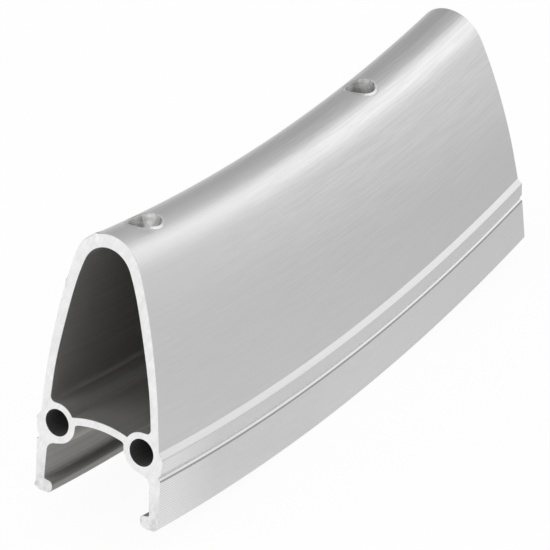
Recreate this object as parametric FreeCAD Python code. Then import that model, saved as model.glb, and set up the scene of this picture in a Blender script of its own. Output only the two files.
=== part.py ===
"""Sawn section of a deep double-wall bicycle rim: one extruded aluminium profile, rolled to the wheel's curve.

Millimetres. Y runs across the rim, parallel to the wheel's axle, X along the section and Z upwards. The section
stands on the tips of its two tyre flanges, with its spoke bed on top. The origin lies on the floor, in the middle
of the section. Heights below are above the flange tips, and a point's other coordinate is its distance from
the rim's middle plane.
"""
import FreeCAD, Part
import math
import os

# Wheel: the bead seat of the 622 mm road wheel, and how far the flanges stand out past it
BEAD_SEAT_DIAMETER = 622.0
FLANGE_HEIGHT = 8.1

# Sawn section: the angle that it spans at the wheel's axle, and the angle from its cut to the first spoke hole
SECTION_ANGLE = 18.3
FIRST_HOLE_FROM_CUT = 1.7

# Spoke holes of the whole wheel
SPOKE_COUNT = 32
SPOKE_HOLE_DIAMETER = 4.5
SPOKE_HOLE_EDGE = 0.25

# Overall size of the profile: its width is over the two bands above the brake tracks
RIM_DEPTH = 41.5
RIM_WIDTH = 22.1

# Spoke bed: the spreads are angles from the middle plane to where the flanks start
CROWN_RADIUS = 5.75
CROWN_SPREAD = 52.0
CROWN_WALL = 2.0
CAVITY_CROWN_RADIUS = 4.1
CAVITY_CROWN_SPREAD = 58.0

# Flanks: each tuck is how far a flank has drawn in from its foot, at a rise above the foot or a drop from the bed
LOWER_FLANK_RISE = 10.0
LOWER_FLANK_TUCK = 1.11
LOWER_FLANK_WALL = 1.46
UPPER_FLANK_DROP = 11.3
UPPER_FLANK_TUCK = 2.71
UPPER_FLANK_WALL = 1.66
SHOULDER_DROP = 5.2
SHOULDER_TUCK = 4.43
SHOULDER_WALL = 1.81
FLANK_FOOT_LEAN = 5.0
FLANK_FOOT_WALL = 1.58
CAVITY_CORNER_RADIUS = 0.75

# Step from the flank out to the band, and the band down to the wear groove
STEP_HEIGHT = 0.9
STEP_DEPTH = 0.72
STEP_FOOT_RADIUS = 0.2
BAND_HEIGHT = 2.2
BAND_TAPER = 0.2
BAND_RADIUS = 0.3

# Wear groove over the brake track
GROOVE_WIDTH = 1.2
GROOVE_DEPTH = 0.48
GROOVE_FLOOR_RISE = 0.3
GROOVE_RADIUS = 0.2

# Brake tracks, set back from the bands, and the flanges that carry them
TRACK_HEIGHT = 7.8
TRACK_INSET = 0.19
TRACK_LEAN = 0.11
FLANGE_WALL_AT_HOOK = 1.53
FLANGE_WALL_AT_SEAT = 1.91
FLANGE_TIP_RADIUS = 0.8

# Bead hooks
HOOK_OVERHANG = 1.47
HOOK_NOSE_HEIGHT = 1.8
HOOK_ROOT_HEIGHT = 2.05
NOSE_LOWER_RADIUS = 0.95
NOSE_UPPER_RADIUS = 0.7
HOOK_ROOT_RADIUS = 0.25

# Round channels for the joint pins, each in a ring with one wall to the tyre well and one to the cavity
CHANNEL_DIAMETER = 4.0
CHANNEL_INSET = 2.96
SEAT_WALL = 1.14
RING_WALL = 1.02
SEAT_SLOPE = 14.0
SEAT_CORNER_RADIUS = 1.5

# Arched bridge from ring to ring, the bed of the tyre well
BRIDGE_RISE = 1.08
BRIDGE_WALL = 1.2
BRIDGE_RADIUS = 15.5
BRIDGE_CORNER_RADIUS = 0.5
BRIDGE_NOTCH_RADIUS = 0.15

# Worked out from the sizes above
TIP_TO_AXLE = BEAD_SEAT_DIAMETER / 2 + FLANGE_HEIGHT
SPOKE_PITCH = 360.0 / SPOKE_COUNT
FLANK_FOOT_HEIGHT = TRACK_HEIGHT + GROOVE_WIDTH + BAND_HEIGHT + STEP_HEIGHT
FLANK_FOOT = RIM_WIDTH / 2 - STEP_DEPTH
CHANNEL_RADIUS = CHANNEL_DIAMETER / 2
CHANNEL_CENTRE = FLANK_FOOT - CHANNEL_INSET
CHANNEL_HEIGHT = FLANGE_HEIGHT + SEAT_WALL + CHANNEL_RADIUS
BRIDGE_UNDERSIDE_HEIGHT = CHANNEL_HEIGHT + BRIDGE_RISE

# Directions and places of the whole model
AXLE = FreeCAD.Vector(0, 0, TIP_TO_AXLE)
ALONG_AXLE = FreeCAD.Vector(0, -1, 0)
SECTION_PLANE = Part.Plane(FreeCAD.Vector(0, 0, 0), FreeCAD.Vector(1, 0, 0))


def at(w, h):
    """The point of the profile w from the middle plane and h above the flange tips."""
    return FreeCAD.Vector(0, w, h)


def line(start, end):
    return Part.LineSegment(start, end).toShape()


def arc(centre, radius, first, last):
    """An arc about centre, from angle first to angle last in degrees, turned from straight up towards +w."""
    spots = []
    for angle in (first, (first + last) / 2, last):
        turn = math.radians(angle)
        spots.append(centre + at(radius * math.sin(turn), radius * math.cos(turn)))
    return Part.Arc(*spots).toShape()


def heading(angle):
    """The direction in which a profile runs, in degrees below the way to +w."""
    turn = math.radians(angle)
    return at(math.cos(turn), -math.sin(turn))


def curve(points, first_heading, last_heading):
    """A smooth curve through the points, with its direction set at both ends."""
    spline = Part.BSplineCurve()
    spline.interpolate(Points=points, InitialTangent=heading(first_heading), FinalTangent=heading(last_heading))
    return spline.toShape()


def mirrored(edges):
    """The same edges on the other side of the middle plane, in the order that carries the outline on."""
    return [edge.mirror(FreeCAD.Vector(0, 0, 0), ALONG_AXLE) for edge in reversed(edges)]


def rounded(edges, radii):
    """The closed outline of the edges, with the corner after each edge rounded by its radius where it has one."""
    edges = list(edges)
    corners = []
    for index, radius in enumerate(radii):
        if not radius:
            continue
        following = (index + 1) % len(edges)
        corner = shared_end(edges[index], edges[following])
        fillet = Part.ChFi2d.FilletAlgo(edges[index], edges[following], SECTION_PLANE)
        fillet.perform(radius)
        round_edge, edges[index], edges[following] = fillet.result(corner)
        corners.append(round_edge)
    return Part.Wire(Part.__sortEdges__(edges + corners))


def shared_end(edge, following):
    """The point where two edges meet."""
    ends = [vertex.Point for vertex in edge.Vertexes]
    others = [vertex.Point for vertex in following.Vertexes]
    return min((end for end in ends), key=lambda end: min(end.distanceToPoint(other) for other in others))


def ring_centre():
    return at(CHANNEL_CENTRE, CHANNEL_HEIGHT)


def ring_arc(radius, start, end):
    """The outside of the ring, from one of its points to another."""
    angles = []
    for point in (start, end):
        offset = point - ring_centre()
        angles.append(math.degrees(math.atan2(offset.y, offset.z)))
    return arc(ring_centre(), radius, *angles)


def bridge(height, radius, ring_radius):
    """The arch of the bridge at a height, from ring to ring, and its end on the ring at +w."""
    centre = at(0, height - radius)
    offset = ring_centre() - centre
    reach = offset.Length
    swing = math.acos((radius**2 + reach**2 - ring_radius**2) / (2 * radius * reach))
    turn = math.atan2(offset.y, offset.z) - swing
    end = centre + at(radius * math.sin(turn), radius * math.cos(turn))
    return arc(centre, radius, math.degrees(turn), -math.degrees(turn)), end


def crown(height, radius, spread):
    """The arc of the spoke bed, from side to side, and its end at +w."""
    centre = at(0, height - radius)
    turn = math.radians(spread)
    return arc(centre, radius, -spread, spread), centre + at(radius * math.sin(turn), radius * math.cos(turn))


def flank_points(shoulder, shoulder_wall, upper_wall, lower_wall, foot):
    """The places that a flank runs through, each its wall inside the flank's outer face."""
    return [
        shoulder,
        at(FLANK_FOOT - SHOULDER_TUCK - shoulder_wall, RIM_DEPTH - SHOULDER_DROP),
        at(FLANK_FOOT - UPPER_FLANK_TUCK - upper_wall, RIM_DEPTH - UPPER_FLANK_DROP),
        at(FLANK_FOOT - LOWER_FLANK_TUCK - lower_wall, FLANK_FOOT_HEIGHT + LOWER_FLANK_RISE),
        foot,
    ]


def outer_outline():
    """The outside of the profile: bed, flanks, steps, bands, grooves, brake tracks, hooks, well and bridge."""
    bed, shoulder = crown(RIM_DEPTH, CROWN_RADIUS, CROWN_SPREAD)
    foot = at(FLANK_FOOT, FLANK_FOOT_HEIGHT)
    flank = curve(flank_points(shoulder, 0, 0, 0, foot), CROWN_SPREAD, 90 - FLANK_FOOT_LEAN)

    band_top = at(RIM_WIDTH / 2, FLANK_FOOT_HEIGHT - STEP_HEIGHT)
    band_foot = at(RIM_WIDTH / 2 - BAND_TAPER, TRACK_HEIGHT + GROOVE_WIDTH)
    groove_floor = at(band_foot.y - GROOVE_DEPTH, TRACK_HEIGHT + GROOVE_FLOOR_RISE)
    track_top = at(RIM_WIDTH / 2 - TRACK_INSET, TRACK_HEIGHT)
    flange_tip = at(track_top.y - TRACK_LEAN, 0)

    hook_root = at(flange_tip.y - FLANGE_WALL_AT_HOOK, HOOK_ROOT_HEIGHT)
    nose_top = at(hook_root.y - HOOK_OVERHANG, HOOK_NOSE_HEIGHT)
    nose_foot = at(nose_top.y, 0)
    nose_lower = min(NOSE_LOWER_RADIUS, 0.55 * HOOK_NOSE_HEIGHT)
    nose_upper = min(NOSE_UPPER_RADIUS, 0.4 * HOOK_NOSE_HEIGHT, 0.5 * HOOK_OVERHANG)

    seat_radius = CHANNEL_RADIUS + SEAT_WALL
    slope = math.radians(SEAT_SLOPE)
    seat_start = ring_centre() - at(seat_radius * math.sin(slope), seat_radius * math.cos(slope))
    seat_width = track_top.y - FLANGE_WALL_AT_SEAT - seat_start.y
    seat_end = seat_start + at(seat_width, -seat_width * math.tan(slope))
    arch, arch_end = bridge(BRIDGE_UNDERSIDE_HEIGHT, BRIDGE_RADIUS, seat_radius)

    side = [
        (flank, STEP_FOOT_RADIUS),
        (line(foot, band_top), BAND_RADIUS),
        (line(band_top, band_foot), GROOVE_RADIUS),
        (line(band_foot, groove_floor), GROOVE_RADIUS),
        (line(groove_floor, track_top), 0),
        (line(track_top, flange_tip), FLANGE_TIP_RADIUS),
        (line(flange_tip, nose_foot), nose_lower),
        (line(nose_foot, nose_top), nose_upper),
        (line(nose_top, hook_root), HOOK_ROOT_RADIUS),
        (line(hook_root, seat_end), SEAT_CORNER_RADIUS),
        (line(seat_end, seat_start), 0),
        (ring_arc(seat_radius, seat_start, arch_end), BRIDGE_CORNER_RADIUS),
    ]
    return closed(bed, side, arch)


def cavity_outline():
    """The hollow between the spoke bed and the bridge."""
    ring_radius = CHANNEL_RADIUS + RING_WALL
    bed, shoulder = crown(RIM_DEPTH - CROWN_WALL, CAVITY_CROWN_RADIUS, CAVITY_CROWN_SPREAD)
    ring_top = ring_centre() + at(0, ring_radius)
    foot = at(FLANK_FOOT - FLANK_FOOT_WALL, ring_top.z)
    places = flank_points(shoulder, SHOULDER_WALL, UPPER_FLANK_WALL, LOWER_FLANK_WALL, foot)
    flank = curve(places, CAVITY_CROWN_SPREAD, 90 - FLANK_FOOT_LEAN)
    arch, arch_end = bridge(BRIDGE_UNDERSIDE_HEIGHT + BRIDGE_WALL, BRIDGE_RADIUS + BRIDGE_WALL, ring_radius)
    side = [
        (flank, CAVITY_CORNER_RADIUS),
        (line(foot, ring_top), 0),
        (ring_arc(ring_radius, ring_top, arch_end), BRIDGE_NOTCH_RADIUS),
    ]
    return closed(bed, side, arch)


def closed(top, side, bottom):
    """A whole outline from its top arc, the edges and corner radii down the +w side, and its bottom arc."""
    edges = [edge for edge, radius in side]
    radii = [radius for edge, radius in side]
    loop = [top, *edges, bottom, *mirrored(edges)]
    return rounded(loop, [0, *radii, *reversed(radii), 0])


def channel_outline(side):
    """The round channel of one side, 1 or -1."""
    centre = at(side * CHANNEL_CENTRE, CHANNEL_HEIGHT)
    return Part.Wire(Part.Circle(centre, FreeCAD.Vector(1, 0, 0), CHANNEL_RADIUS).toShape())


def profile():
    """The extrusion's cross-section, with its cavity and its two pin channels."""
    hollows = [cavity_outline(), channel_outline(1), channel_outline(-1)]
    face = Part.Face(outer_outline())
    return face.cut([Part.Face(hollow) for hollow in hollows]).Faces[0]


def rolled(face):
    """The profile swept about the wheel's axle and sawn off square at both ends."""
    start = face.copy()
    start.rotate(AXLE, ALONG_AXLE, -SECTION_ANGLE / 2)
    return start.revolve(AXLE, ALONG_AXLE, SECTION_ANGLE)


def hole_angles():
    """Where the spoke holes of the whole wheel fall in this section, in degrees from its middle."""
    angle = FIRST_HOLE_FROM_CUT - SECTION_ANGLE / 2
    margin = math.degrees(SPOKE_HOLE_DIAMETER / (TIP_TO_AXLE - RIM_DEPTH))
    angles = []
    while angle < SECTION_ANGLE / 2 - margin:
        angles.append(angle)
        angle += SPOKE_PITCH
    return angles


def drilled(rim):
    """The rim with its spoke holes, each drilled towards the axle through the spoke bed alone."""
    bed_radius = TIP_TO_AXLE - RIM_DEPTH
    start = at(0, RIM_DEPTH - CROWN_WALL - CAVITY_CROWN_RADIUS)
    drills = []
    for angle in hole_angles():
        drill = Part.makeCylinder(SPOKE_HOLE_DIAMETER / 2, bed_radius / 2, start, FreeCAD.Vector(0, 0, 1))
        drill.rotate(AXLE, ALONG_AXLE, angle)
        drills.append(drill)
    return rim.cut(drills)


def is_hole_mouth(edge):
    """Whether an edge is the rim of a spoke hole on the outside of the spoke bed."""
    for angle in hole_angles():
        turn = math.radians(angle)
        inwards = FreeCAD.Vector(-math.sin(turn), 0, math.cos(turn))
        for vertex in edge.Vertexes:
            offset = vertex.Point - AXLE
            reach = offset.cross(inwards).Length
            depth = TIP_TO_AXLE + offset.dot(inwards)
            if abs(reach - SPOKE_HOLE_DIAMETER / 2) < 0.01 and depth > RIM_DEPTH - CROWN_WALL / 2:
                return True
    return False


def rim_section():
    rim = drilled(rolled(profile()))
    mouths = [edge for edge in rim.Edges if is_hole_mouth(edge)]
    return rim.makeFillet(SPOKE_HOLE_EDGE, mouths)


os.makedirs("parts", exist_ok=True)
section = rim_section()
section.exportStep("parts/rim_section.step")

box = section.optimalBoundingBox(False)
print("solids", len(section.Solids), "valid", section.isValid(), "volume", round(section.Volume, 1))
print("box", [round(value, 2) for value in (box.XMin, box.YMin, box.ZMin, box.XMax, box.YMax, box.ZMax)])
print("spoke holes at", [round(angle, 3) for angle in hole_angles()])
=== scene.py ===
"""Looks of the sawn bicycle rim section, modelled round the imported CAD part."""

import math

import bmesh
import bpy
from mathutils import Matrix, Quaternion, Vector
from mathutils.geometry import interpolate_bezier


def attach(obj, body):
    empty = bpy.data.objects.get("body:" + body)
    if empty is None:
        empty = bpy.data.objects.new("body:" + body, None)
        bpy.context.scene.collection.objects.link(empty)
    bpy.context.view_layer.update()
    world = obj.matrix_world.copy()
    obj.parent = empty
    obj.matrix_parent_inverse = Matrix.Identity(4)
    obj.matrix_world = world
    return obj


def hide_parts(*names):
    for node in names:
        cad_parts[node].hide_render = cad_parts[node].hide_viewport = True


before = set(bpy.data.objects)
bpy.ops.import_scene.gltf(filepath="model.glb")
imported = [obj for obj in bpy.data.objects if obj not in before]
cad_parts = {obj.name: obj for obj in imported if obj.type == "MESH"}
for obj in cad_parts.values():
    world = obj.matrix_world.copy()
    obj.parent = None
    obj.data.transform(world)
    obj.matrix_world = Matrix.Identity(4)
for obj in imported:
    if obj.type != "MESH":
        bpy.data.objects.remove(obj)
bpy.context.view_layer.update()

MM = 0.001

# Sizes of the rim in millimetres, the same as in the CAD part. Across is measured from the
# middle plane, height from the flange tips towards the axle.
AXLE = 319.1
SECTION_ANGLE = 18.3
FIRST_HOLE_FROM_CUT = 1.7
HOLE_PITCH = 360 / 32
HOLE_RADIUS = 2.25
# Drilling pushed up a thin lip round each hole: radius and height above the crown, from outside inwards.
LIP_OUTSIDE, LIP_SHOULDER, LIP_TOP = 2.75, 2.42, 2.31
LIP = [(2.71, 0.004), (LIP_SHOULDER, 0.03), (LIP_TOP, 0.035), (2.27, 0.02), (HOLE_RADIUS, -0.03)]
LIP_UNEVENNESS = 0.02
# It stands highest towards the right flank: the way there in degrees from +X, the rise of each step, and
# how many degrees the steps reach to both sides.
LIP_HIGHEST, LIP_RISE, LIP_REACH = -96, 0.048, (82, 70, 58, 46, 34, 22)
# Where the drill came through it left a burr, which hangs from the cavity's ceiling: radius and height.
EXIT_BURR = [(2.6, 0), (2.42, -0.4), (HOLE_RADIUS, -0.4)]
# The drill tore the near side of the first hole's mouth: its push along, across and down, the place along
# the rim beyond which it takes hold, and how far it carries the metal round it.
TEAR, TEAR_FROM, TEAR_REACH = (-0.95, 0.18, -0.05), -2.2, 1.6
# The heights between which the outer and the inner mouth of a hole lie, and above which its wall does.
OUTER_MOUTH, INNER_MOUTH, WALL_FOOT = (40, 43), (37, 39.8), 38
CROWN_CENTRE, CROWN_RADIUS = (0, 35.75), 5.75
INNER_CROWN_CENTRE, INNER_CROWN_RADIUS = (0, 35.4), 4.1
CHANNEL_CENTRE, CHANNEL_RADIUS = (7.37, 11.24), 2.0
RING_UNDER, RING_OVER = 3.14, 3.02          # the ring's outside towards the tyre well and the cavity
BRIDGE_CENTRE, BRIDGE_UNDER, BRIDGE_OVER = (0, -3.18), 15.5, 16.7
BRIDGE_CORNER, BRIDGE_NOTCH = 0.5, 0.15
SEAT_SLOPE = 14
# Each point of a flank: across, height, lean below level in degrees, and pull of its handles.
FLANK = [(4.531, 39.290, 52.0, 0.967), (5.900, 36.300, 72.10, 1.021), (7.620, 30.200, 76.516, 1.018),
         (9.220, 22.100, 80.948, 0.893), (10.330, 12.100, 85.0, 1.454)]
CAVITY_FLANK = [(3.477, 37.573, 58.0, 0.980), (4.090, 36.300, 68.027, 1.009), (5.960, 30.200, 76.034, 1.029),
                (7.760, 22.100, 79.262, 0.862), (8.750, 14.260, 85.0, 1.512)]
CAVITY_CORNER = 0.75                       # the round at the foot of the cavity's flank
# Corners below the flank: across, height, radius, and whether the run up to it was turned. The ledge under
# the wear groove is drawn in two parts, because its outer edge is coloured darker, as is the top of the track
# below it.
STEP_AND_TRACK = [(10.33, 12.1, 0.2, False), (11.05, 11.2, 0.3, False), (10.85, 9.0, 0.2, True),
                  (10.37, 8.1, 0.2, False), (10.70, 7.898, 0, False), (10.86, 7.8, 0, False),
                  (10.75, 0, 0.8, True), (7.75, 0, 0.95, False), (7.75, 1.8, 0.7, False),
                  (9.22, 2.05, 0.25, False), (8.95, 7.61, 1.5, False)]
# The turning tool leaves a ridge every 0.38 mm, counted in the photograph.
TURNING_PITCH, TURNING_DEPTH = 0.38, 0.008
# The saw took the sharp edge off both ends, and left burrs on the near one: across and height of the spot,
# its push across and up, and how far it carries the metal round it.
SAWN_EDGE = 0.05
SAW_BURRS = [(10.75, 0.75, (0.27, -0.3), 0.7), (2.3, 41.0, (0.08, 0.16), 0.5),
             (7.05, 32.8, (0.12, 0.03), 0.4)]
# The roll from the near cut to the far one: degrees and steps, finer where a hole is drilled.
ROLL = [(1.05, 3), (1.3, 26), (9.95, 25), (1.3, 26), (4.7, 12)]


# Drawing the profile with a pen

def start_at(across, height):
    """Puts one vertex down as the pen's start."""
    bpy.ops.mesh.select_all(action="DESELECT")
    bpy.ops.mesh.primitive_plane_add(size=MM, location=(0, across * MM, height * MM))
    bpy.ops.mesh.merge(type="CENTER")
    pen[:] = [across, height]


def line_to(across, height):
    """Draws one straight stroke."""
    bpy.ops.mesh.extrude_region_move(
        TRANSFORM_OT_translate={"value": (0, (across - pen[0]) * MM, (height - pen[1]) * MM)})
    pen[:] = [across, height]


def arc_to(centre, end, steps):
    """Spins the pen round a centre, the short way, until it points to the end. Spin turns clockwise."""
    start = math.atan2(pen[1] - centre[1], pen[0] - centre[0])
    turn = math.atan2(end[1] - centre[1], end[0] - centre[0]) - start
    turn = (turn + math.pi) % (2 * math.pi) - math.pi
    bpy.ops.mesh.spin(steps=steps, angle=-turn, center=(0, centre[0] * MM, centre[1] * MM), axis=(1, 0, 0))
    radius = math.hypot(pen[0] - centre[0], pen[1] - centre[1])
    pen[:] = [centre[0] + radius * math.cos(start + turn), centre[1] + radius * math.sin(start + turn)]


def turned_to(across, height):
    """Draws a face as the turning tool leaves it: shallow ridges of four strokes each."""
    begin, run = Vector(pen), Vector((across, height)) - Vector(pen)
    out = Vector((-run.y, run.x)).normalized()
    count = round(run.length / TURNING_PITCH) * 4
    for i in range(1, count):
        line_to(*(begin + run * i / count + out * TURNING_DEPTH / 2 * (0, 1, 0, -1)[i % 4]))
    line_to(across, height)


def corners_to(corners, end):
    """Draws straight runs from corner to corner, each corner rounded, and on to the end."""
    for i, (across, height, radius, turned) in enumerate(corners):
        corner = Vector((across, height))
        after = Vector(corners[i + 1][:2] if i + 1 < len(corners) else end)
        back, on = (Vector(pen) - corner).normalized(), (after - corner).normalized()
        half = back.angle(on) / 2
        (turned_to if turned else line_to)(*(corner + back * radius / math.tan(half)))
        if radius:
            steps = 10 if radius > 0.6 else 4
            arc_to(corner + (back + on).normalized() * radius / math.sin(half),
                   corner + on * radius / math.tan(half), steps)
    line_to(*end)


def flank_to(points, steps):
    """Draws the smooth flank through its points, up to one step before the last of them."""
    spots = []
    for (a0, h0, lean0, pull0), (a1, h1, lean1, pull1) in zip(points, points[1:]):
        p, q = Vector((a0, h0)), Vector((a1, h1))
        reach = (q - p).length / 3
        handles = [end + Vector((math.cos(math.radians(lean)), -math.sin(math.radians(lean)))) * pull * reach
                   for end, pull, lean in ((p, pull0, lean0), (q, -pull1, lean1))]
        spots += interpolate_bezier(p, *handles, q, steps + 1)[1:]
    for spot in spots[:-1]:
        line_to(spot.x, spot.y)


def round_between(circle_a, circle_b):
    """The centre of a round that touches two arcs: the upper place where circles about their centres meet."""
    (centre_a, radius_a), (centre_b, radius_b) = circle_a, circle_b
    a, gap = Vector(centre_a), Vector(centre_b) - Vector(centre_a)
    along = (gap.length_squared + radius_a ** 2 - radius_b ** 2) / (2 * gap.length)
    off = math.sqrt(radius_a ** 2 - along ** 2)
    u = gap.normalized()
    return max((a + u * along + Vector((-u.y, u.x)) * side for side in (off, -off)), key=lambda p: p.y)


def select_where(kind, test):
    """Selects, in edit mode, just the vertices, edges or faces that pass the test."""
    bpy.ops.mesh.select_mode(type=kind)
    bpy.ops.mesh.select_all(action="DESELECT")
    mesh = bmesh.from_edit_mesh(bpy.context.object.data)
    for element in {"VERT": mesh.verts, "EDGE": mesh.edges, "FACE": mesh.faces}[kind]:
        if test(element):
            element.select_set(True)
    mesh.select_flush_mode()
    bmesh.update_edit_mesh(bpy.context.object.data)


def angle_of(place):
    """Degrees round the axle from straight down, positive towards +X."""
    return math.degrees(math.atan2(place.x, AXLE * MM - place.z))


def height_of(place):
    """Height on the profile, in millimetres above the flange tips."""
    return AXLE - math.hypot(place.x, AXLE * MM - place.z) / MM


def roll_by(degrees):
    """Rolls the whole rim about the axle, towards +X."""
    bpy.ops.mesh.select_all(action="SELECT")
    bpy.ops.transform.rotate(value=math.radians(degrees), orient_axis="Y", center_override=(0, 0, AXLE * MM))


pen = [0, 0]
bpy.ops.object.select_all(action="DESELECT")
bpy.ops.mesh.primitive_plane_add(size=MM)
rim = bpy.context.object
rim.name = rim.data.name = "extruded_rim"
bpy.ops.object.mode_set(mode="EDIT")
bpy.ops.mesh.select_mode(type="VERT")
bpy.ops.mesh.delete(type="VERT")

# Outside: crown, flank, step, brake track, hook, bead seat and the underside of the bridge.
seat_turn = math.radians(SEAT_SLOPE)
seat_start = Vector(CHANNEL_CENTRE) - RING_UNDER * Vector((math.sin(seat_turn), math.cos(seat_turn)))
corner_centre = round_between((CHANNEL_CENTRE, RING_UNDER + BRIDGE_CORNER),
                              (BRIDGE_CENTRE, BRIDGE_UNDER - BRIDGE_CORNER))
start_at(0, CROWN_CENTRE[1] + CROWN_RADIUS)
arc_to(CROWN_CENTRE, FLANK[0], 26)
flank_to(FLANK, 9)
corners_to(STEP_AND_TRACK, seat_start)
arc_to(CHANNEL_CENTRE, corner_centre, 14)
arc_to(corner_centre, corner_centre * 2 - Vector(BRIDGE_CENTRE), 4)
arc_to(BRIDGE_CENTRE, (0, BRIDGE_CENTRE[1] + BRIDGE_UNDER), 12)

# Cavity between the spoke bed and the bridge.
notch_centre = round_between((CHANNEL_CENTRE, RING_OVER + BRIDGE_NOTCH),
                             (BRIDGE_CENTRE, BRIDGE_OVER + BRIDGE_NOTCH))
ring_top = (CHANNEL_CENTRE[0], CHANNEL_CENTRE[1] + RING_OVER)
start_at(0, INNER_CROWN_CENTRE[1] + INNER_CROWN_RADIUS)
arc_to(INNER_CROWN_CENTRE, CAVITY_FLANK[0], 20)
flank_to(CAVITY_FLANK, 7)
corners_to([(*CAVITY_FLANK[-1][:2], CAVITY_CORNER, False)], ring_top)
arc_to(CHANNEL_CENTRE, notch_centre, 12)
arc_to(notch_centre, BRIDGE_CENTRE, 3)
arc_to(BRIDGE_CENTRE, (0, BRIDGE_CENTRE[1] + BRIDGE_OVER), 12)

# Pin channel of this side; the other side is its mirror image.
bpy.ops.mesh.primitive_circle_add(vertices=48, radius=CHANNEL_RADIUS * MM, rotation=(0, math.pi / 2, 0),
                                  location=(0, CHANNEL_CENTRE[0] * MM, CHANNEL_CENTRE[1] * MM))
bpy.ops.object.mode_set(mode="OBJECT")
mirror = rim.modifiers.new("other side", "MIRROR")
mirror.use_axis = (False, True, False)
mirror.merge_threshold = 0.001 * MM
bpy.ops.object.modifier_apply(modifier=mirror.name)

# Roll it round the axle with the first hole's place straight under the axle, and close the sawn ends.
bpy.ops.object.mode_set(mode="EDIT")
bpy.ops.mesh.select_all(action="SELECT")
bpy.ops.mesh.remove_doubles(threshold=0.001 * MM)
roll_by(-FIRST_HOLE_FROM_CUT)
for degrees, steps in ROLL:
    bpy.ops.mesh.spin(steps=steps, angle=math.radians(degrees), center=(0, 0, AXLE * MM), axis=(0, 1, 0))
for cut in (-FIRST_HOLE_FROM_CUT, SECTION_ANGLE - FIRST_HOLE_FROM_CUT):
    select_where("EDGE", lambda e: all(abs(angle_of(v.co) - cut) < 0.001 for v in e.verts))
    bpy.ops.mesh.fill()
bpy.ops.mesh.select_all(action="SELECT")
bpy.ops.mesh.normals_make_consistent(inside=False)


def is_sawn(face):
    """Whether a face lies in one of the two saw cuts."""
    along = Vector((math.cos(math.radians(angle_of(face.calc_center_median()))), 0,
                    math.sin(math.radians(angle_of(face.calc_center_median())))))
    return abs(face.normal.dot(along)) > 0.9


# Take the sharp edge off both sawn ends.
select_where("EDGE", lambda e: len(e.link_faces) == 2
             and is_sawn(e.link_faces[0]) != is_sawn(e.link_faces[1]))
bpy.ops.mesh.bevel(offset=SAWN_EDGE * MM, offset_type="OFFSET", segments=1, clamp_overlap=False)

# Pull the burrs out of the near end's edge, within the plane of the cut.
cut_lean = math.radians(FIRST_HOLE_FROM_CUT)
for across, height, (sideways, up), reach in SAW_BURRS:
    spots = [v for v in bmesh.from_edit_mesh(rim.data).verts
             if abs(angle_of(v.co) + FIRST_HOLE_FROM_CUT) < 0.02]
    nearest = min(spots, key=lambda v: math.hypot(v.co.y / MM - across, height_of(v.co) - height)).index
    select_where("VERT", lambda v: v.index == nearest)
    push = Vector((up * math.sin(cut_lean), sideways, up * math.cos(cut_lean))) * MM
    bpy.ops.transform.translate(value=push, use_proportional_edit=True, proportional_edit_falloff="SHARP",
                                proportional_size=reach * MM, use_proportional_connected=True)


def near_wall(place, margin):
    """Whether a place is on the drill's cylinder, in the spoke bed."""
    return abs(math.hypot(place.x, place.y) / MM - LIP_OUTSIDE) < margin and place.z > WALL_FOOT * MM


def select_mouth(low, high):
    """Selects the open edge of a hole between two heights, in millimetres."""
    select_where("EDGE", lambda e: e.is_boundary
                 and low < (e.verts[0].co.z + e.verts[1].co.z) / 2 / MM < high)


def draw_in(before, ring):
    """Draws a selected mouth on from one ring to the next. A ring is its radius and its height."""
    bpy.ops.mesh.extrude_region_move(TRANSFORM_OT_translate={"value": (0, 0, (ring[1] - before[1]) * MM)})
    bpy.ops.transform.resize(value=(ring[0] / before[0], ring[0] / before[0], 1), center_override=(0, 0, 0))


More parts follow.
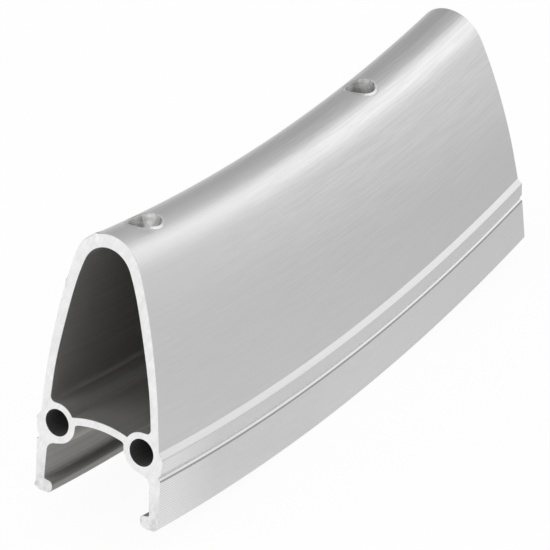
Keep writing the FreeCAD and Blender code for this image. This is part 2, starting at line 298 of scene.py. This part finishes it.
# Drill each spoke hole while its place is straight under the axle. A boolean leaves its vertices in an
# order of its own, so they are sorted by their distance from the cursor, and every run goes on the same.
bpy.context.scene.cursor.location = (0.021, 0.013, 0.017)
for hole in range(2):
    bpy.ops.object.mode_set(mode="OBJECT")
    bpy.ops.mesh.primitive_cylinder_add(vertices=96, radius=LIP_OUTSIDE * MM, depth=5 * MM,
                                        location=(0, 0, 40 * MM))
    drill = bpy.context.object
    bpy.ops.object.select_all(action="DESELECT")
    rim.select_set(True)
    bpy.context.view_layer.objects.active = rim
    cut = rim.modifiers.new("drill", "BOOLEAN")
    cut.operation, cut.solver, cut.object = "DIFFERENCE", "EXACT", drill
    bpy.ops.object.modifier_apply(modifier=cut.name)
    bpy.data.objects.remove(drill)
    bpy.ops.object.mode_set(mode="EDIT")
    bpy.ops.mesh.select_all(action="SELECT")
    bpy.ops.mesh.sort_elements(type="CURSOR_DISTANCE", elements={"VERT", "EDGE", "FACE"})
    # The cut took away the crown inside the lip. The drill's own wall goes too, and slivers beside it close.
    select_where("FACE", lambda f: near_wall(f.calc_center_median(), 0.01) and abs(f.normal.z) < 0.1)
    bpy.ops.mesh.delete(type="FACE")
    select_where("VERT", lambda v: near_wall(v.co, 0.1))
    bpy.ops.mesh.remove_doubles(threshold=0.02 * MM)
    if hole == 0:
        select_where("VERT", lambda v: near_wall(v.co, 0.1) and v.co.z > OUTER_MOUTH[0] * MM
                     and v.co.x < TEAR_FROM * MM)
        bpy.ops.transform.translate(value=[step * MM for step in TEAR], use_proportional_edit=True,
                                    proportional_edit_falloff="SMOOTH", proportional_size=TEAR_REACH * MM,
                                    use_proportional_connected=True)
    # The lip outside, a little uneven on top, and raised on its high side.
    select_mouth(*OUTER_MOUTH)
    for before, ring in zip([(LIP_OUTSIDE, 0), *LIP], LIP):
        draw_in(before, ring)
        if ring[0] == LIP_TOP:
            bpy.ops.transform.vertex_random(offset=LIP_UNEVENNESS * MM, uniform=0.5, seed=5 + hole)
        if ring[0] == LIP_SHOULDER:
            for reach in LIP_REACH:
                select_where("VERT", lambda v: v.is_boundary and v.co.z > OUTER_MOUTH[0] * MM and abs(
                    math.degrees(math.atan2(v.co.y, v.co.x)) - LIP_HIGHEST) < reach)
                bpy.ops.transform.translate(value=(0, 0, LIP_RISE * MM))
            select_mouth(*OUTER_MOUTH)
    # The burr in the cavity, then the wall between the two.
    select_mouth(*INNER_MOUTH)
    for before, ring in zip([(LIP_OUTSIDE, 0), *EXIT_BURR], EXIT_BURR):
        draw_in(before, ring)
    select_where("EDGE", lambda e: e.is_boundary)
    bpy.ops.mesh.bridge_edge_loops()
    roll_by(-HOLE_PITCH if hole == 0 else HOLE_PITCH + FIRST_HOLE_FROM_CUT - SECTION_ANGLE / 2)
bpy.ops.mesh.select_all(action="SELECT")
bpy.ops.mesh.normals_make_consistent(inside=False)
bpy.ops.object.mode_set(mode="OBJECT")
print("rim", len(rim.data.vertices), len(rim.data.polygons))
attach(rim, "root")
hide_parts("rim_section")


# Materials

def srgb(code):
    """A hex colour as linear numbers for a socket."""
    values = [int(code[i:i + 2], 16) / 255 for i in (1, 3, 5)]
    return (*[v / 12.92 if v <= 0.04045 else ((v + 0.055) / 1.055) ** 2.4 for v in values], 1)


def add(tree, kind, inputs=None, **settings):
    """Adds one node: its settings by name, and its inputs by name or number, each a value or a socket."""
    node = tree.nodes.new("ShaderNode" + kind)
    for name, value in settings.items():
        setattr(node, name, value)
    for key, value in (inputs or {}).items():
        if isinstance(value, bpy.types.NodeSocket):
            tree.links.new(value, node.inputs[key])
        else:
            node.inputs[key].default_value = value
    return node


def new_material(name):
    """An empty material and the tree that its nodes go in."""
    material = bpy.data.materials.new(name)
    material.use_nodes = True
    material.node_tree.nodes.clear()
    return material, material.node_tree


def rolled_place(tree):
    """Where a point is on the rim, in millimetres: along the arc from the near cut, across, and height.
    Also the direction along the arc, in which it was drawn and brushed."""
    x, y, z = add(tree, "SeparateXYZ", {0: add(tree, "TexCoord").outputs["Object"]}).outputs
    below = add(tree, "Math", {0: AXLE * MM, 1: z}, operation="SUBTRACT").outputs[0]
    angle = add(tree, "Math", {0: x, 1: below}, operation="ARCTAN2").outputs[0]
    arc = add(tree, "Math", {0: angle, 1: AXLE, 2: math.radians(SECTION_ANGLE / 2) * AXLE},
              operation="MULTIPLY_ADD").outputs[0]
    spoke = add(tree, "CombineXYZ", {0: x, 2: below}).outputs[0]
    reach = add(tree, "VectorMath", {0: spoke}, operation="LENGTH").outputs["Value"]
    height = add(tree, "Math", {0: reach, 1: -1 / MM, 2: AXLE}, operation="MULTIPLY_ADD").outputs[0]
    across = add(tree, "Math", {0: y, 1: 1 / MM}, operation="MULTIPLY").outputs[0]
    along = add(tree, "CombineXYZ", {0: below, 2: x}).outputs[0]
    return arc, across, height, add(tree, "VectorMath", {0: along}, operation="NORMALIZE").outputs[0]


def stretched(tree, arc, across, height, length, width, offset=0.0):
    """Pattern coordinates whose unit is a stroke: its length along the arc and its width across it."""
    return add(tree, "CombineXYZ", {
        0: add(tree, "Math", {0: arc, 1: 1 / length, 2: offset}, operation="MULTIPLY_ADD").outputs[0],
        1: add(tree, "Math", {0: across, 1: 1 / width}, operation="MULTIPLY").outputs[0],
        2: add(tree, "Math", {0: height, 1: 1 / width}, operation="MULTIPLY").outputs[0]}).outputs[0]


def toned(tree, pattern, low, high, first, second):
    """Goes from the first tone, where the pattern is low, to the second, where it is high, with a finish's
    own soft step between them. A tone is a hex colour or a socket."""
    share = add(tree, "MapRange", {0: pattern, 1: low, 2: high}).outputs[0]
    first, second = [srgb(tone) if isinstance(tone, str) else tone for tone in (first, second)]
    return add(tree, "MixRGB", {0: share, 1: first, 2: second}).outputs[0]


def finish_metal(tree, colour, roughness, height=None, depth=0.02, tangent=None, anisotropic=0.0):
    """The metal's shader and output, with its relief depth in millimetres."""
    inputs = {"Base Color": colour, "Metallic": 1.0, "Roughness": roughness, "Anisotropic": anisotropic}
    if height is not None:
        relief = {"Strength": 1.0, "Distance": depth * MM, "Height": height}
        inputs["Normal"] = add(tree, "Bump", relief).outputs[0]
    if tangent is not None:
        inputs["Tangent"] = tangent
    shader = add(tree, "BsdfPrincipled", inputs)
    add(tree, "OutputMaterial", {0: shader.outputs[0]})


def brushed_extrusion():
    """Extruded 6000-series aluminium, brushed along the arc by the rolls: satin, with fine long strokes,
    coarser streaks higher up and further from the near cut, and here and there a brighter scratch."""
    material, tree = new_material("brushed_extruded_aluminium")
    arc, across, height, along = rolled_place(tree)
    strokes = add(tree, "TexNoise", {"Vector": stretched(tree, arc, across, height, 8, 0.22), "Scale": 1.0,
                                     "Detail": 3.0, "Roughness": 0.6}).outputs[0]
    scratches = add(tree, "TexNoise", {"Vector": stretched(tree, arc, across, height, 14, 0.3, 5.0),
                                       "Scale": 1.0, "Detail": 1.0}).outputs[0]
    streaks = add(tree, "TexNoise", {"Vector": stretched(tree, arc, across, height, 9, 0.26, 2.0),
                                     "Scale": 1.0, "Detail": 2.0, "Roughness": 0.6}).outputs[0]
    tone = toned(tree, strokes, 0.35, 0.65, "#CDCDCD", "#D1D1D1")
    tone = toned(tree, scratches, 0.68, 0.84, tone, "#D8D8D8")
    streaked = toned(tree, streaks, 0.38, 0.62, "#CBCBCB", "#D4D4D4")
    streaked = toned(tree, arc, 10, 50, tone, streaked)
    tone = toned(tree, height, 12, 34, tone, streaked)
    roughness = add(tree, "MapRange", {0: strokes, 1: 0.3, 2: 0.7, 3: 0.32, 4: 0.35}).outputs[0]
    finish_metal(tree, tone, roughness, strokes, 0.0006, along, 0.3)
    return material


def turned_finish(name, dark, light):
    """Faces turned after rolling, with ridges round the rim. Near the near end the tone has light and dark
    stripes at the ridges' pitch, painted light and shade of the ridges, and is brighter; further on it is
    plain."""
    material, tree = new_material(name)
    arc, across, height, along = rolled_place(tree)
    strokes = add(tree, "TexNoise", {"Vector": stretched(tree, arc, across, height, 6, 0.2), "Scale": 1.0,
                                     "Detail": 3.0, "Roughness": 0.6}).outputs[0]
    turns = add(tree, "Math", {0: height, 1: 2 * math.pi / TURNING_PITCH}, operation="MULTIPLY").outputs[0]
    turns = add(tree, "Math", {0: turns}, operation="SINE").outputs[0]
    plain = toned(tree, strokes, 0.35, 0.65, dark, light)
    # Painted light and shade of the ridges: light and dark stripes at the turning pitch, which the tone takes
    # near the near end.
    painted_ridge_light_and_shade = toned(tree, turns, -1, 1, "#DEDEDE", "#F0F0F0")
    finish_metal(tree, toned(tree, arc, 3, 14, painted_ridge_light_and_shade, plain), 0.45, strokes, 0.001, along, 0.3)
    return material


def sawn_end():
    """Saw cuts: bright torn metal with a matt, mottled face and the blade's faint slanting marks. The
    flanges were torn most."""
    material, tree = new_material("sawn_aluminium")
    across, height = rolled_place(tree)[1:3]
    place = add(tree, "TexCoord").outputs["Object"]
    mottle = add(tree, "TexNoise", {"Vector": place, "Scale": 750.0, "Detail": 3.0,
                                    "Roughness": 0.55}).outputs[0]
    grain = add(tree, "TexNoise", {"Vector": place, "Scale": 3500.0, "Detail": 2.0,
                                   "Roughness": 0.6}).outputs[0]
    slant = add(tree, "Math", {0: height, 1: 0.4, 2: across}, operation="MULTIPLY_ADD").outputs[0]
    slide = add(tree, "Math", {0: across, 1: -0.4, 2: height}, operation="MULTIPLY_ADD").outputs[0]
    blade = add(tree, "CombineXYZ", {
        0: add(tree, "Math", {0: slant, 1: 2.4}, operation="MULTIPLY").outputs[0],
        1: add(tree, "Math", {0: slide, 1: 0.18}, operation="MULTIPLY").outputs[0]}).outputs[0]
    marks = add(tree, "TexNoise", {"Vector": blade, "Scale": 1.0, "Detail": 3.0,
                                   "Roughness": 0.65}).outputs[0]
    clean = toned(tree, mottle, 0.3, 0.7, "#EBEBEB", "#F6F6F6")
    clean = toned(tree, marks, 0.45, 0.95, clean, "#E2E2E2")
    torn = toned(tree, mottle, 0.4, 0.68, clean, "#CFCFCF")
    finish_metal(tree, toned(tree, height, 2, 6, torn, clean), 0.6, grain, 0.015)
    return material


def drilled_wall():
    """The walls of the holes as the drill leaves them: fine rings round the hole, torn here and there. The
    rings draw a highlight out along the hole."""
    material, tree = new_material("drilled_aluminium")
    arc, across, height, along = rolled_place(tree)
    wander = add(tree, "TexNoise", {"Vector": stretched(tree, arc, across, height, 1.5, 1.5), "Scale": 1.0,
                                    "Detail": 2.0}).outputs[0]
    rings = add(tree, "CombineXYZ", {0: add(tree, "Math", {0: height, 1: 3, 2: wander},
                                            operation="MULTIPLY_ADD").outputs[0]}).outputs[0]
    rings = add(tree, "TexNoise", {"Vector": rings, "Scale": 1.0, "Detail": 3.0, "Roughness": 0.6}).outputs[0]
    tears = add(tree, "TexNoise", {"Vector": stretched(tree, arc, across, height, 0.9, 0.6), "Scale": 1.0,
                                   "Detail": 3.0, "Roughness": 0.65}).outputs[0]
    tone = toned(tree, rings, 0.3, 0.7, "#D2D2D1", "#ECECEB")
    tone = toned(tree, tears, 0.45, 0.75, tone, "#B8B8B7")
    spoke = add(tree, "VectorMath", {0: along, 1: (0, 1, 0)}, operation="CROSS_PRODUCT").outputs[0]
    finish_metal(tree, tone, 0.5, rings, 0.04, spoke, 0.8)
    return material


def mill_finish(name, dark, light, roughness):
    """Dull aluminium with oxide and die lines, in the tones each use gives: as extruded where no tool reached,
    in the cavity; darker with painted shade in the tyre well, and much darker in the pin channel; and a darker
    strip along the groove's edge.
    """
    material, tree = new_material(name)
    arc, across, height, along = rolled_place(tree)
    lines = add(tree, "TexNoise", {"Vector": stretched(tree, arc, across, height, 60, 0.3), "Scale": 1.0,
                                   "Detail": 3.0, "Roughness": 0.6}).outputs[0]
    finish_metal(tree, toned(tree, lines, 0.2, 0.8, dark, light), roughness, lines, 0.01, along, 0.4)
    return material


FLANK_FINISH, SAWN, DRILLED, TRACK, GROOVE, GROOVE_EDGE, CAVITY, WELL_PAINTED_SHADE, CHANNEL = range(9)
for material in (brushed_extrusion(), sawn_end(), drilled_wall(),
                 turned_finish("turned_brake_track_aluminium", "#D6D6D6", "#DADADA"),
                 # A lighter copy of the turned finish, painted light, for the groove's down-facing facet.
                 turned_finish("turned_groove_facet_painted_light", "#E6E6E6", "#ECECEC"),
                 # Coloured darker: the ledge's outer edge and the top of the brake track just below it.
                 mill_finish("darker_strip_at_groove_edge", "#989898", "#A4A4A4", 0.5),
                 mill_finish("mill_finish_cavity", "#A8A7A5", "#B8B7B4", 0.55),
                 # The tyre well's tone is darker than the cavity's: painted shade between the flanges.
                 mill_finish("mill_finish_tyre_well_painted_shade", "#989795", "#AFAEAB", 0.72),
                 # The pin channel's much darker tone is painted shade inside the narrow tube.
                 mill_finish("mill_finish_pin_channel_painted_shade", "#595857", "#6B6A69", 1.0)):
    rim.data.materials.append(material)

# Heights where one finish gives way to another, from the foot of the flank down to the flange tips.
FLANK_FOOT, BAND_TOP, GROOVE_TOP, LEDGE_EDGE, TRACK_TOP, TIP_TOP = 12.45, 11.05, 8.97, 7.87, 7.7, 0.25
# The torn edge of a mouth: how far from the hole's axis and how high it reaches, and the cosine of the angle to
# the crown beyond which a face there is torn.
TORN_REACH, TORN_TOP, TORN_COSINE = LIP_OUTSIDE + 0.8, 40.9, 0.8


def finish_of(face):
    """Which finish a face has, from its place on the profile and its normal."""
    angle, high, wide = angle_of(face.center), height_of(face.center), abs(face.center.y) / MM
    along = Vector((math.cos(math.radians(angle)), 0, math.sin(math.radians(angle))))
    outwards = Vector((math.sin(math.radians(angle)), 0, -math.cos(math.radians(angle))))
    if abs(face.normal.dot(along)) > 0.9 and abs(abs(angle) - SECTION_ANGLE / 2) < 0.01:
        return SAWN
    side, up = face.normal.y * math.copysign(1, face.center.y), -face.normal.dot(outwards)
    for hole in (0, 1):
        turn = math.radians(FIRST_HOLE_FROM_CUT - SECTION_ANGLE / 2 + HOLE_PITCH * hole)
        spoke = Vector((-math.sin(turn), 0, math.cos(turn)))
        offset = face.center - Vector((0, 0, AXLE * MM))
        from_axis = (offset - spoke * offset.dot(spoke)).length / MM
        crown = Vector((0, face.center.y / MM, high - CROWN_CENTRE[1])).normalized()
        steep = face.normal.y * crown.y + up * crown.z < TORN_COSINE
        in_tear = steep and from_axis < TORN_REACH and high < TORN_TOP
        if high > WALL_FOOT and wide < 3 and (from_axis < LIP_SHOULDER or in_tear):
            return DRILLED
    # The pin channel takes the much darker copy of the finish, painted shade.
    if math.hypot(wide - CHANNEL_CENTRE[0], high - CHANNEL_CENTRE[1]) < CHANNEL_RADIUS + 0.1:
        return CHANNEL
    if high > FLANK_FOOT:
        return FLANK_FINISH if side * wide + up * (high - 30) > 0 else CAVITY
    if side > 0.2 and wide > 10.2:
        # The ledge's outer edge and the top of the track are coloured darker.
        if TRACK_TOP < high < LEDGE_EDGE:
            return GROOVE_EDGE
        if LEDGE_EDGE < high < GROOVE_TOP:
            # The groove's down-facing facet gets the lighter copy of the turned finish, painted light.
            return GROOVE if up < 0.2 else FLANK_FINISH
        return TRACK if high < BAND_TOP else FLANK_FINISH
    # The tyre well takes the darker copy of the finish, painted shade.
    return WELL_PAINTED_SHADE if high > TIP_TOP else FLANK_FINISH


for face in rim.data.polygons:
    face.material_index = finish_of(face)
bpy.ops.object.shade_smooth_by_angle(angle=math.radians(38))


# Floor, world, lights and camera

def paper_floor():
    """White paper, which the camera sees as white with the object's shadow left on it."""
    material, tree = new_material("white_paper")
    ray = add(tree, "LightPath")
    mirrored = add(tree, "Math", {0: ray.outputs["Is Glossy Ray"], 1: ray.outputs["Is Transmission Ray"]},
                   operation="MAXIMUM").outputs[0]
    share = add(tree, "Math", {0: mirrored, 1: 0.9}, operation="MULTIPLY").outputs[0]
    share = add(tree, "Math", {0: ray.outputs["Is Camera Ray"], 1: 0.94, 2: share},
                operation="MULTIPLY_ADD").outputs[0]
    # The metal shows the paper a little grey, greyest in a painted shadow beside the far end.
    aside = add(tree, "VectorMath", {0: add(tree, "TexCoord").outputs["Object"], 1: (0.09, -0.05, 0)},
                operation="DISTANCE").outputs["Value"]
    painted_shadow_level = add(tree, "MapRange", {0: aside, 1: 0.02, 2: 0.13, 3: 0.76, 4: 0.95}).outputs[0]
    level = add(tree, "MixRGB", {0: mirrored, 1: (1, 1, 1, 1), 2: painted_shadow_level})
    paper = add(tree, "BsdfDiffuse", {"Color": srgb("#F4F4F4")})
    white = add(tree, "Emission", {"Color": level.outputs[0], "Strength": 1.0})
    add(tree, "OutputMaterial", {0: add(tree, "MixShader", {0: share, 1: paper.outputs[0],
                                                            2: white.outputs[0]}).outputs[0]})
    return material


bpy.ops.mesh.primitive_plane_add(size=3, location=(0, 0, 0))
floor = bpy.context.object
floor.name = "floor"
floor.data.materials.append(paper_floor())

scene = bpy.context.scene
world = bpy.data.worlds.new("studio")
scene.world = world
world.use_nodes = True
tree = world.node_tree
tree.nodes.clear()
ray = add(tree, "LightPath")
# The camera and the metal's reflections see plain white. What lights the rim from all round is a little less.
seen = add(tree, "Math", {0: ray.outputs["Is Camera Ray"], 1: ray.outputs["Is Glossy Ray"]},
           operation="MAXIMUM")
seen = add(tree, "Math", {0: seen.outputs[0], 1: ray.outputs["Is Transmission Ray"]}, operation="MAXIMUM")
strength = add(tree, "MapRange", {0: seen.outputs[0], 1: 0.0, 2: 1.0, 3: 0.7, 4: 1.0})
background = add(tree, "Background", {0: (1, 1, 1, 1), 1: strength.outputs[0]})
add(tree, "OutputWorld", {0: background.outputs[0]})


def softbox(name, direction, distance, size, power):
    """A soft lamp in a direction from the rim and at a distance in metres, turned to it."""
    back = Vector(direction).normalized()
    lamp = bpy.data.lights.new(name, "AREA")
    lamp.shape, lamp.size, lamp.size_y, lamp.energy = "RECTANGLE", *size, power
    shown = bpy.data.objects.new(name, lamp)
    shown.location = Vector((0, 0, 0.02)) + back * distance
    shown.rotation_mode = "QUATERNION"
    shown.rotation_quaternion = back.to_track_quat("Z", "Y")
    scene.collection.objects.link(shown)


def tent_cloth(name, shine, test):
    """A sheet in the place of a cloth of the light tent, shown only by the metal's reflections. It glows with a
    painted brightness, not lit by the lamps. The test takes azimuth and elevation, and shine gives the cloth's
    brightness from its tree."""
    bpy.ops.object.select_all(action="DESELECT")
    bpy.ops.mesh.primitive_uv_sphere_add(segments=72, ring_count=36, radius=1.5)
    cloth = bpy.context.object
    cloth.name = name
    bpy.ops.object.mode_set(mode="EDIT")

    def kept(face):
        back = face.calc_center_median().normalized()
        return test(math.degrees(math.atan2(back.y, back.x)), math.degrees(math.asin(back.z)))

    select_where("FACE", lambda f: not kept(f))
    bpy.ops.mesh.delete(type="FACE")
    bpy.ops.object.mode_set(mode="OBJECT")
    material, tree = new_material(name)
    add(tree, "OutputMaterial", {0: add(tree, "Emission", {0: (1, 1, 1, 1), 1: shine(tree)}).outputs[0]})
    cloth.data.materials.append(material)
    cloth.visible_camera = cloth.visible_diffuse = cloth.visible_shadow = False


def painted_light_falloff(tree):
    """Painted light: brighter towards the window and lower down."""
    x, y, z = add(tree, "SeparateXYZ", {0: add(tree, "TexCoord").outputs["Object"]}).outputs
    aside = add(tree, "MapRange", {0: y, 1: 0.03, 2: 0.8, 3: 1.0, 4: 0.64}).outputs[0]
    above = add(tree, "MapRange", {0: z, 1: 0.0, 2: 1.0, 3: 1.0, 4: 0.78}).outputs[0]
    return add(tree, "Math", {0: aside, 1: above}, operation="MULTIPLY").outputs[0]


# A dim sheet of painted shade, where the room above and behind the rim is dark.
tent_cloth("dark_tent_painted_shade", lambda tree: 0.2, lambda azimuth, elevation:
           elevation > 0 and (60 < azimuth < 110 or elevation > 65 and -150 < azimuth < 110
                              or elevation > 25 and -150 < azimuth < -85))
# A sheet that glows with painted light, brighter towards the window and lower down.
tent_cloth("pale_tent_painted_light", painted_light_falloff, lambda azimuth, elevation:
           0 < elevation < 65 and -10 < azimuth < 60)


def towards(azimuth, elevation):
    """A direction, in degrees round from +X and up from the floor."""
    a, e = math.radians(azimuth), math.radians(elevation)
    return Vector((math.cos(a) * math.cos(e), math.sin(a) * math.cos(e), math.sin(e)))


softbox("window", towards(-44, 43), 1.0, (0.77, 0.65), 0.58)
softbox("window_glow", towards(-45, 30), 1.1, (1.4, 1.1), 0.6)
softbox("low_window", towards(-52, 24), 1.0, (0.35, 0.3), 0.12)
softbox("near_light", towards(180, 50), 1.0, (1.6, 1.6), 5.1)

camera = bpy.data.cameras.new("camera")
camera.lens, camera.sensor_width = 196.44, 36
camera.clip_start, camera.clip_end = 0.01, 10
CAMERA_AZIMUTH, CAMERA_ELEVATION, CAMERA_ROLL, CAMERA_DISTANCE = -54.986, 28.938, -1.460, 450.008
CAMERA_TARGET = Vector((-3.044, 1.511, 19.059))
a, e = math.radians(CAMERA_AZIMUTH), math.radians(CAMERA_ELEVATION)
back = Vector((math.sin(a) * math.cos(e), -math.cos(a) * math.cos(e), math.sin(e)))
viewer = bpy.data.objects.new("camera", camera)
viewer.location = (CAMERA_TARGET + back * CAMERA_DISTANCE) * MM
viewer.rotation_mode = "QUATERNION"
roll = Quaternion((0, 0, 1), math.radians(CAMERA_ROLL))
viewer.rotation_quaternion = (-back).to_track_quat("-Z", "Y") @ roll
scene.collection.objects.link(viewer)
scene.camera = viewer
scene.view_settings.view_transform = "Standard"
